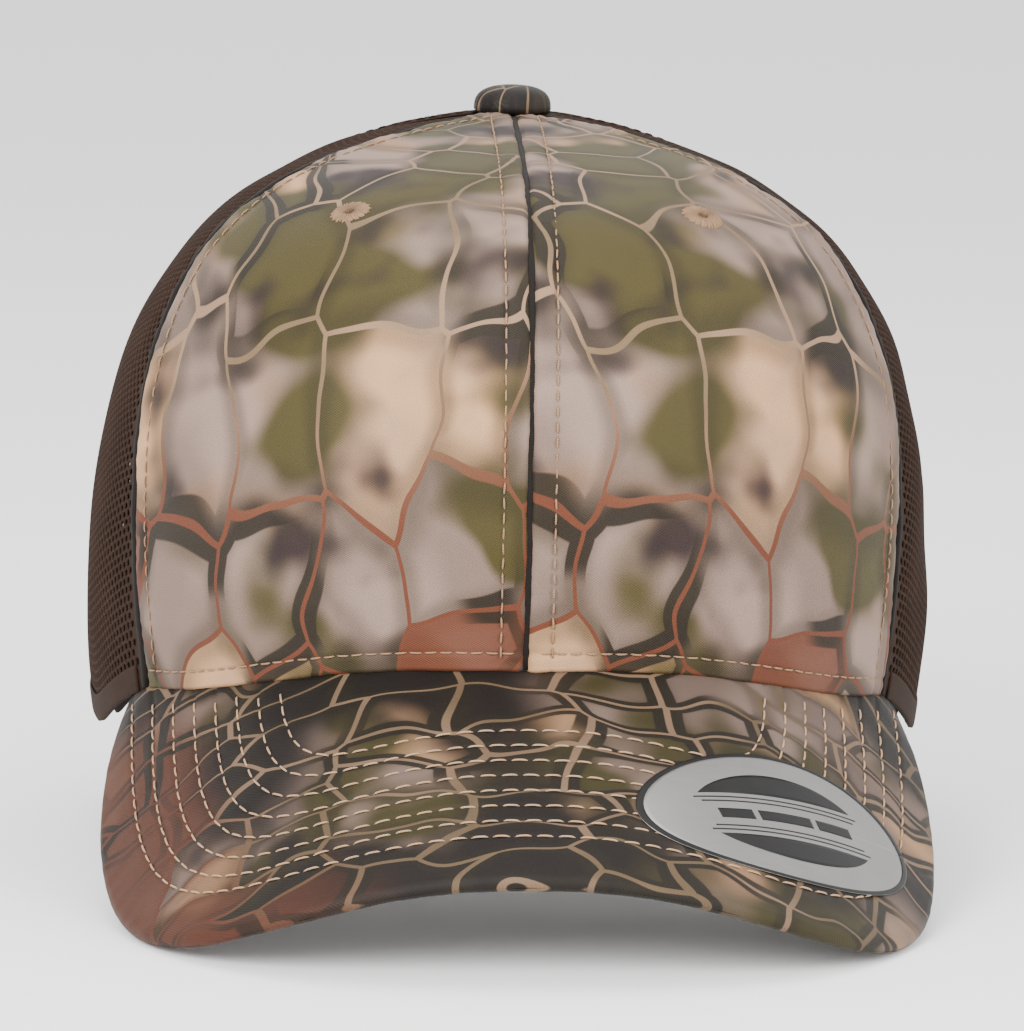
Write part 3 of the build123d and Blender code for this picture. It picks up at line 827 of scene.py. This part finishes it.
def crown_stitches():
    front = [seam_run(0.0, offset, low=1.5) for offset in (-PANEL_STITCH, PANEL_STITCH)]
    for side in (1, -1):
        front.append(seam_run(side * FRONT_SEAM, -PANEL_STITCH * side, low=HEM_STITCH))
        front.append(hem_run(side * 1.0, side * (FRONT_SEAM - 1), HEM_STITCH))
    add_threads("stitches_front", front, TAN_THREAD)
    rise = OPENING_TOP + BINDING_WIDTH + 1
    rear = [seam_run(180.0, offset, low=rise, depth=-0.2) for offset in (-2.0, 2.0)]
    for side in (1, -1):
        rear += [seam_run(side * SIDE_SEAM, offset, depth=-0.2) for offset in (-2.0, 2.0)]
        rear.append(hem_run(side * 60.0, side * rear_angle(HEM_TAPE_END_X), 5.0, depth=0.1))
    add_threads("stitches_rear", rear, BROWN_THREAD)


def eyelets():
    """Embroidered rings: radial satin stitches round a small vent."""
    for name, side in SIDES:
        centre = crown(side * EYELET_ANGLE, EYELET_CLIMB)
        out = crown_normal(side * EYELET_ANGLE, EYELET_CLIMB)
        first = unit(np.cross([0.0, 0.0, 1.0], out))
        second = np.cross(out, first)
        turns, rings = 288, 16
        turn = np.linspace(0, 2 * math.pi, turns, endpoint=False)[:, None]
        share = np.linspace(0, 1, rings)[None, :]
        ragged = 0.30 * np.sin(turn * 36 + 0.6) + 0.24 * np.sin(turn * 17 + side)
        radius = 0.9 + (EYELET_RADIUS - 0.45 + ragged - 0.9) * share
        ridge = 0.30 * np.abs(np.sin(turn * 18 + 0.7 * np.sin(turn * 3))) * (0.3 + 0.7 * share)
        height = 0.62 * np.sin(math.pi * np.clip(share * 0.92 + 0.08, 0, 1)) ** 0.6 + ridge
        height = height - 0.9 * (share < 0.02) - 0.35 * share ** 6
        u, v = radius * np.cos(turn), radius * np.sin(turn) * 0.86
        sag = (u ** 2 + v ** 2) / (2 * 62.0)
        flat = centre + u[..., None] * first + v[..., None] * second
        top = flat + out * (height - sag - 0.15)[..., None]
        base = flat - out * (sag + 0.35)[..., None]
        near, far = np.concatenate([top, top[:1]]), np.concatenate([base, base[:1]])
        uv = np.stack(np.broadcast_arrays(turn * 12, share * 4), -1)
        uv = np.concatenate([uv, uv[:1] + [24 * math.pi, 0]])
        ring = add_sheet(f"eyelet_ring_{name}", near[::-1], far[::-1], uv[::-1], TAN_THREAD)
        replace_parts(ring, f"eyelet_{name}")


def button():
    """Cloth-covered dome with gathers at its rim."""
    low, high = box_mm("button_cover")
    radius, height = (high[0] - low[0]) / 2, high[2] - low[2]
    turn = np.linspace(0, 2 * math.pi, 97)[:, None]
    share = np.linspace(0, 1, 26)[None, :]
    lean = share * math.pi / 2
    gather = 0.16 * share ** 4 * (np.sin(turn * 17) + 0.6 * np.sin(turn * 29 + 1))
    r = (radius - 0.2) * np.sin(lean) ** 0.82 + gather
    z = low[2] - 0.3 + (height + 0.3) * np.cos(lean) ** 0.62 + gather * 0.4
    near = np.stack(np.broadcast_arrays(r * np.cos(turn), r * np.sin(turn), z), -1)
    inner = np.stack(np.broadcast_arrays(r * 0.93 * np.cos(turn), r * 0.93 * np.sin(turn), z - 0.45), -1)
    uv = np.stack([near[..., 0] * (1 + 0.3 * share), near[..., 1] * (1 + 0.3 * share)], -1)
    cover = add_sheet("button_cloth", near, inner, uv, CLOTH_BUTTON)
    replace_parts(cover, "button_cover")
    for node in ("button_shell", "button_back", "button_rivet", "button_washer"):
        frame["nodes"][node].data.materials.clear()
        frame["nodes"][node].data.materials.append(STEEL)


# ---------------------------------------------------------------- visor
def visor_lines(u, inset=0.0):
    """Rear and front ends, in plan, of the visor's lines, and how far each line sinks to the hem."""
    tuck, sweep = TUCK_ANGLE * u, np.radians(SWEEP_ANGLE * u)
    hem_radius = plan_radius(tuck)
    around = np.stack([np.sin(np.radians(tuck)), -np.cos(np.radians(tuck))], -1)
    side, ahead = np.sin(sweep), np.cos(sweep)
    length, width = VISOR_CENTRE_Y - VISOR_FRONT_Y - inset, VISOR_HALF_WIDTH - inset
    reach = 1 / superellipse(side / width, ahead / length, VISOR_POWER)
    taper = 1 - VISOR_TAPER * np.abs(u * SWEEP_ANGLE / 90) ** 8
    front = np.stack([reach * side * taper, VISOR_CENTRE_Y - reach * ahead], -1)
    at_hem = arch_surface(hem_radius * around[..., 0], hem_radius * around[..., 1])
    return around * (hem_radius - VISOR_TUCK)[..., None], front, at_hem - hem_height(tuck)


def visor_place(x, y):
    """Points on the visor's top at plan positions, and their normals."""
    low, high = -np.ones_like(x), np.ones_like(x)
    for _ in range(30):
        u = (low + high) / 2
        rear, front, _sink = visor_lines(u)
        line = front - rear
        right = (x - rear[..., 0]) * -line[..., 1] + (y - rear[..., 1]) * line[..., 0] > 0
        low, high = np.where(right, u, low), np.where(right, high, u)
    sink = visor_lines((low + high) / 2)[2]
    return np.stack([x, y, arch_surface(x, y) - sink], -1), arch_normal(x)


def unrolled(x, y):
    """Flat pattern position of visor points: the surface bends one way only."""
    table = np.linspace(0, 100, 500)
    tilt = math.atan(VISOR_SLOPE)
    steep = ARCH * ARCH_POWER / ARCH_SPAN * (table / ARCH_SPAN) ** (ARCH_POWER - 1) * math.cos(tilt)
    run = np.concatenate([[0], np.cumsum(np.hypot(1, (steep[1:] + steep[:-1]) / 2) * np.diff(table))])
    fall = ARCH * (np.abs(x) / ARCH_SPAN) ** ARCH_POWER
    across = np.sign(x) * np.interp(np.abs(x), table, run)
    return np.stack([across, y / math.cos(tilt) - fall * math.sin(tilt)], -1)


def row_gap(x, y, row):
    """Distance in plan from a stitch row, about."""
    ahead = VISOR_CENTRE_Y - y
    share = superellipse(x / row_width(row), np.maximum(ahead, 0) / row_length(row), row_power(row))
    return (share - 1) * np.minimum(np.hypot(x, ahead), row_length(row)) * 0.97


def visor_sheet(name, depths, top, inset, material, node, detail):
    """One layer of the visor on a grid of lines from the crown to the outline."""
    columns, rows = (281, 221) if detail else (121, 81)
    u = np.sin(np.linspace(-1, 1, columns) * 1.35) / math.sin(1.35)
    rear, front, sink = visor_lines(u, inset)
    v = 1 - (1 - np.linspace(0, 1, rows)) ** 1.25
    plan = rear[:, None] + (front - rear)[:, None] * v[None, :, None]
    x, y = plan[..., 0], plan[..., 1]
    surface = np.stack([x, y, arch_surface(x, y) - sink[:, None]], -1)
    normal = arch_normal(x)
    edge = np.linalg.norm(front[:, None] - plan, axis=-1)
    near, far = (depth + 0 * x for depth in depths)
    if detail:
        relief = 0 * x
        for row in range(ROW_COUNT):
            relief += 0.24 * np.exp(-(row_gap(x, y, row) / 0.5) ** 2)
        relief -= 0.10 * waves(x, y, 41, 21.0) + 0.05 * waves(x, y, 42, 8.0)
        relief += 0.05 * np.exp(-edge / 6) * waves(x, y, 43, 5.0)
        ends = np.minimum(edge, (1 - np.abs(u))[:, None] * 90 + 0 * edge)
        bend = EDGE_ROLL * (1 - np.sqrt(1 - np.clip(1 - ends / EDGE_ROLL, 0, 1) ** 2))
        if top:
            near, far = near + relief + bend, np.maximum(far + relief * 0.5, near + relief + bend + 0.08)
        else:
            far = far - bend - np.clip(relief, -0.15, 0.3)
            near = np.minimum(near, far - 0.08)
    above, below = surface - normal * near[..., None], surface - normal * far[..., None]
    piece = add_sheet(name, above[::-1], below[::-1], unrolled(x, y)[::-1], material)
    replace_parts(piece, node)
    return lay_flat(piece) if detail else piece


def visor():
    board = COVER_TOP + COVER + LAYER_GAP
    under = board + BOARD_DEPTH + LAYER_GAP
    for place, start, top in (("top", COVER_TOP, True), ("under", under, False)):
        visor_sheet(f"visor_cloth_{place}", (start, start + COVER), top, 0.0, CLOTH_VISOR,
                    f"visor_{place}_cover", True)
    visor_sheet("visor_board_sheet", (board + 0.12, board + BOARD_DEPTH - 0.12), False, 2.2, BOARD,
                "visor_board", False)
    for side_depth, name in ((0.0, "stitches_visor_top"), (under + COVER, "stitches_visor_under")):
        paths = []
        for row in range(ROW_COUNT):
            turn = np.radians(np.linspace(-89, 89, 500))
            across, along = np.sin(turn) / row_width(row), np.cos(turn) / row_length(row)
            reach = 1 / superellipse(across, along, row_power(row))
            x, y = reach * np.sin(turn), VISOR_CENTRE_Y - reach * np.cos(turn)
            outside = np.hypot(x, y) > plan_radius(np.degrees(np.arctan2(x, -y))) + 1.0
            place, normal = visor_place(x[outside], y[outside])
            if side_depth:
                paths.append((place - normal * (side_depth - 0.1), -normal))
            else:
                paths.append((place - normal * 0.16, normal))
        add_threads(name, paths, CREAM_THREAD, pitch=VISOR_STITCH_PITCH, length=3.35, radius=0.19)


def on_visor(a, b, height):
    """Points at tangent-plane positions round the sticker's centre, dropped onto the visor."""
    x, y = (np.array([c]) for c in STICKER_CENTRE)
    centre, normal = visor_place(x, y)
    centre, normal = centre[0], normal[0]
    downhill = unit(np.array([0.0, -1.0, -VISOR_SLOPE]))
    first = np.cross(normal, downhill)
    second = np.cross(normal, first)
    turn = math.radians(STICKER_TURN)
    along = first * math.cos(turn) + second * math.sin(turn)
    up = second * math.cos(turn) - first * math.sin(turn)
    flat = centre + a[..., None] * along + b[..., None] * up
    slip = 0 * a
    for _ in range(12):
        p = flat + normal * slip[..., None]
        slip = slip - (p[..., 2] - visor_place(p[..., 0], p[..., 1])[0][..., 2]) / 1.6
    p = flat + normal * slip[..., None]
    place, out = visor_place(p[..., 0], p[..., 1])
    return place + out * np.asarray(height)[..., None]


def oval_sheet(name, outer, inner, heights, material, rings=14):
    """Ring or disc between two shares of the sticker's oval."""
    turn = np.linspace(0, 2 * math.pi, 145)[:, None]
    share = np.linspace(inner, outer, rings)[None, :]
    a, b = (axis * share * f(turn) for axis, f in zip(STICKER_AXES, (np.cos, np.sin)))
    soft = 0.03 * np.clip((share - outer + 0.012) / 0.012, 0, 1)
    return laid_on_visor(name, a, b, heights[0], heights[1] - soft, material)


def strip_on_visor(name, a, low, high, top):
    share = np.linspace(0, 1, 8)[None, :]
    a, b = a[:, None] + 0 * share, low[:, None] + (high - low)[:, None] * share
    return laid_on_visor(name, a, b, MARK_BASE, top, INK)


def laid_on_visor(name, a, b, low, high, material):
    near, far = on_visor(a, b, high + 0 * a), on_visor(a, b, low + 0 * a)
    return add_sheet(name, near[::-1], far[::-1], np.stack([a, b], -1)[::-1], material)


def sticker():
    """Oval foil with a dark rim, two dark crescents and plain bars."""
    foil = oval_sheet("sticker_foil_oval", 1.0, 0.02, (0.10, 0.24), FOIL)
    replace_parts(foil, "visor_sticker")
    oval_sheet("sticker_rim", 1.0, 0.955, (MARK_BASE, 0.285), INK, rings=6)
    half, rise = STICKER_AXES[0] * 0.66, STICKER_AXES[1] * 0.66
    level = rise * 0.50
    for name, way in (("upper", 1), ("lower", -1)):
        a = -half * math.sqrt(0.75) * np.cos(np.linspace(0, math.pi, 61))
        edge = np.maximum(rise * np.sqrt(np.maximum(1 - (a / half) ** 2, 0)), level + 0.02)
        ends = (level + 0 * a, edge) if way > 0 else (-edge, -level + 0 * a)
        strip_on_visor(f"sticker_crescent_{name}", a, *ends, 0.28)
        for number, place in enumerate((0.40, 0.30)):
            a = np.linspace(-1, 1, 61) * half * (0.93 - 0.06 * number)
            centre = way * rise * place + 0 * a
            strip_on_visor(f"sticker_line_{name}_{number}", a, centre - 0.16, centre + 0.16, 0.275)
    for number, (start, end) in enumerate(((-17, -9), (-7.5, 6), (7.5, 17))):
        a = np.linspace(start, end, 31)
        strip_on_visor(f"sticker_bar_{number}", a, -1.25 + 0 * a, 1.25 + 0 * a, 0.28)


# ---------------------------------------------------------------- hems, band, labels and rear opening
def hems_and_band():
    def soft(run, rise):
        return 0.12 * waves(run, rise, 61, 12.0) + 0.1 * np.exp(-((rise - 4) / 0.6) ** 2)

    for name, side in SIDES:
        ends = span(side, 64.0, rear_angle(HEM_TAPE_END_X))
        tape = hem_sheet(f"hem_tape_cloth_{name}", *ends, (0.6, 9.8), (1.0, 1.33), TAPE, 90)
        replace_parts(tape, f"hem_tape_{name}")
        ends = span(side, 57.0, rear_angle(HEM_FOLD_END_X))
        hem_sheet(f"hem_fold_{name}", *ends, (-0.2, 5.6), (-0.3, 0.3), KNIT, 150)
    end = rear_angle(BAND_END_X)
    bands = (("front", -FRONT_SEAM, FRONT_SEAM), ("left", FRONT_SEAM, end), ("right", -end, -FRONT_SEAM))
    for name, start, end in bands:
        band = hem_sheet(f"band_{name}", start + 0.1, end - 0.1, (1.1, 33.8), (3.15, 4.55), BAND, 150,
                         shape=soft)
        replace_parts(band, f"sweatband_{name}")
        path, normal = hem_run(start + 0.4, end - 0.4, 4.0, depth=4.6)
        add_threads(f"stitches_band_{name}", [(path, -normal)], BROWN_THREAD)


def labels():
    """Blank sewn-in labels with a plain border line."""
    for name, start, end, low, high in (("size", -14.0, 14.0, 7.0, 27.0), ("care", -102.0, -86.0, 4.0, 30.0)):
        label = hem_sheet(f"{name}_label_cloth", start, end, (low, high), (4.80, 5.15), SATIN, 50)
        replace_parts(label, f"{name}_label")
        paths = []
        for rise in (low + 2, high - 2):
            path, normal = hem_run(start + 1.2, end - 1.2, rise, depth=5.12, count=24)
            paths.append((path, -normal))
        stitches = add_threads(f"{name}_label_border", paths, PRINT, pitch=1.6, length=1.4, radius=0.12)


def binding():
    """U-shaped folded tape round the rear opening's arch."""
    turn = np.linspace(0, math.pi, 121)
    half, rise = OPENING_HALF, OPENING_TOP - OPENING_SIDE
    arch = np.stack([half * np.cos(turn), OPENING_SIDE + rise * np.sin(turn)], -1)
    low = np.linspace(0.6, OPENING_SIDE, 14)[:-1]
    leg = np.stack([0 * low + half, low], -1)
    line = np.concatenate([leg, arch, (leg * [-1, 1])[::-1]])
    ahead = unit(np.gradient(line, axis=0))
    outward = np.stack([ahead[:, 1], -ahead[:, 0]], -1)
    run = np.concatenate([[0], np.cumsum(np.linalg.norm(np.diff(line, axis=0), axis=1))])

    def on_wall(plane, depth):
        x, z = plane[..., 0], plane[..., 1]
        turns = np.linspace(90, 180, 400)
        widths = np.stack([plan_radius(turns) * np.sin(np.radians(turns)), turns], -1)[::-1]
        angle = np.interp(np.abs(x), widths[:, 0], widths[:, 1])
        for _ in range(14):
            climb = climb_where(angle, lambda p: p[..., 2] > z)
            radius = np.abs(crown(angle, climb)[..., 0])
            angle = np.clip(angle - np.degrees((np.abs(x) - radius) / 92), 100, 180)
        angle = np.where(x < 0, -angle, angle)
        return wall(angle, climb, depth + 0 * x)

    width = BINDING_WIDTH - 0.3
    section = [(width, -0.12), (width - 0.4, -0.38), (width / 2, -0.46), (0.6, -0.45), (0.12, -0.1),
               (0.05, 0.4), (0.15, 0.95), (0.6, 1.26), (width / 2, 1.28), (width - 0.4, 1.24), (width, 1.02)]
    inner = [(width, 0.0), (width - 0.4, -0.1), (width / 2, -0.12), (0.9, -0.12), (0.65, 0.0),
             (0.6, 0.4), (0.65, 0.7), (0.9, 0.86), (width / 2, 0.88), (width - 0.4, 0.86), (width, 0.86)]
    fine = np.linspace(0, len(section) - 1, 45)
    grids = []
    for profile in (section, inner):
        profile = np.array(profile)
        outs = np.interp(fine, range(len(profile)), profile[:, 0])
        downs = np.interp(fine, range(len(profile)), profile[:, 1])
        plane = line[:, None] + outward[:, None] * outs[None, :, None]
        ripple = 0.05 * waves(run[:, None], fine[None, :], 71, 7.0)
        grids.append(on_wall(plane, downs[None, :] + ripple))
    uv = np.stack(np.broadcast_arrays(run[:, None], fine[None, :] * 1.55), -1)
    piece = add_sheet("opening_tape", grids[0], grids[1], uv, TAPE)
    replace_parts(lay_flat(piece), "opening_binding")
    seam = line + outward * 5.4
    outside = on_wall(seam, -0.42)
    out = unit(outside - on_wall(seam, 3.0))
    add_threads("stitches_opening", [(outside, out)], BROWN_THREAD)


# ---------------------------------------------------------------- straps
def dress(node, material, axes):
    """Finish for a CAD node, with its cloth UV taken straight from two axes."""
    thing = frame["nodes"][node]
    layer = thing.data.uv_layers.new(name="cloth")
    points = np.empty(len(thing.data.vertices) * 3, np.float32)
    thing.data.vertices.foreach_get("co", points)
    index = np.empty(len(thing.data.loops), np.int32)
    thing.data.loops.foreach_get("vertex_index", index)
    layer.data.foreach_set("uv", points.reshape(-1, 3)[index][:, axes].ravel())
    thing.data.materials.clear()
    thing.data.materials.append(material)
    bevel = thing.modifiers.new("worn_edges", "BEVEL")
    bevel.width, bevel.segments, bevel.limit_method, bevel.angle_limit = 0.12 * MM, 2, "ANGLE", 0.7
    return thing


def straps():
    for node in ("button_shell", "button_back", "button_rivet", "button_washer"):
        dress(node, STEEL, [0, 1])
    angle = np.array([rear_angle(36.7)])
    y_tab = wall(angle, climb_at_rise(angle, HINGE_HEIGHT), np.array([2.2]))[0][1]
    for node, side in (("hole_strap", -1), ("peg_strap", 1)):
        dress(node, STRAP, [0, 2])
        dress(f"{node}_tab", STRAP, [0, 2])
        low, high = box_mm(node)
        middle_y = (low[1] + high[1]) / 2 if side < 0 else low[1] + 0.6
        x = np.linspace(side * 34.0, side * 37.4, 16)
        share = np.clip((np.abs(x) - 34.6) / 2.0, 0, 1)
        y = middle_y + (y_tab - middle_y) * share * share * (3 - 2 * share)
        z = np.linspace(3.4, 18.6, 20)
        X, Z = np.meshgrid(x, z, indexing="ij")
        Y = y[:, None] + 0 * Z
        swell = 0.42 - 0.16 * np.exp(-((np.abs(X) - 35.4) / 0.5) ** 2)
        near, far = np.stack([X, Y + swell, Z], -1), np.stack([X, Y - swell, Z], -1)
        web = add_sheet(f"{node}_web", near, far, np.stack([X, Z], -1), STRAP)
        web.parent = None
        del web["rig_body"]
        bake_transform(web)


# ---------------------------------------------------------------- making
front_of_cap()
mesh_of_cap()
seams_inside()
seams_outside()
crown_stitches()
eyelets()
button()
visor()
sticker()
hems_and_band()
labels()
binding()
straps()


# ---------------------------------------------------------------- camera, floor and light
def camera():
    pitch, yaw, roll, distance = math.radians(9.8125), math.radians(2.5716), math.radians(0.9345), 1.4
    level_out = math.cos(pitch)
    place = distance * Vector((-level_out * math.sin(yaw), -level_out * math.cos(yaw), math.sin(pitch)))
    ahead = -place.normalized()
    level = Vector((math.cos(yaw), -math.sin(yaw), 0))
    high = level.cross(ahead)
    right = level * math.cos(roll) + high * math.sin(roll)
    up = high * math.cos(roll) - level * math.sin(roll)
    rise, turn = math.atan(193.0 / 6713), math.atan(9.31 / 6713)
    ahead = (ahead + up * math.tan(rise) + right * math.tan(turn)).normalized()
    right = ahead.cross(up).normalized()
    up = right.cross(ahead)
    data = bpy.data.cameras.new("camera")
    data.sensor_fit, data.sensor_width, data.lens = "AUTO", 36, 6713 / 1031 * 36
    data.clip_end = 10
    eye = bpy.data.objects.new("camera", data)
    eye.matrix_world = Matrix.Translation(place) @ Matrix((right, up, -ahead)).transposed().to_4x4()
    bpy.context.scene.collection.objects.link(eye)
    bpy.context.scene.camera = eye


def lamp(name, place, aim, size, power):
    data = bpy.data.lights.new(name, "AREA")
    data.shape, data.size, data.size_y, data.energy = "RECTANGLE", size, size, power
    light = bpy.data.objects.new(name, data)
    light.location = place
    light.rotation_euler = (Vector(aim) - Vector(place)).to_track_quat("-Z", "Y").to_euler()
    bpy.context.scene.collection.objects.link(light)


def studio():
    mesh = bpy.data.meshes.new("floor")
    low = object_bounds()[0].z - 0.0005
    mesh.from_pydata([(x, y, low) for x, y in ((-4, -4), (4, -4), (4, 4), (-4, 4))], [], [(0, 1, 2, 3)])
    floor = bpy.data.objects.new("floor", mesh)
    bpy.context.scene.collection.objects.link(floor)
    white = bpy.data.materials.new("pale_floor")
    white.use_nodes = True
    shader = white.node_tree.nodes["Principled BSDF"]
    shader.inputs["Base Color"].default_value = (0.86, 0.86, 0.86, 1)
    shader.inputs["Roughness"].default_value = 0.9
    mesh.materials.append(white)
    floor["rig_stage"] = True
    world = bpy.data.worlds.new("studio")
    world.use_nodes = True
    world.node_tree.nodes["Background"].inputs[0].default_value = (1, 1, 1, 1)
    world.node_tree.nodes["Background"].inputs[1].default_value = 1.7
    bpy.context.scene.world = world
    lamp("key", (-0.55, -1.0, 0.60), (0, -0.05, 0.04), 0.6, 27)
    lamp("fill", (0.8, -0.8, 0.45), (0, -0.05, 0.04), 0.7, 13)
    lamp("top", (0, 0.1, 1.1), (0, 0, 0), 0.8, 7)


camera()
studio()
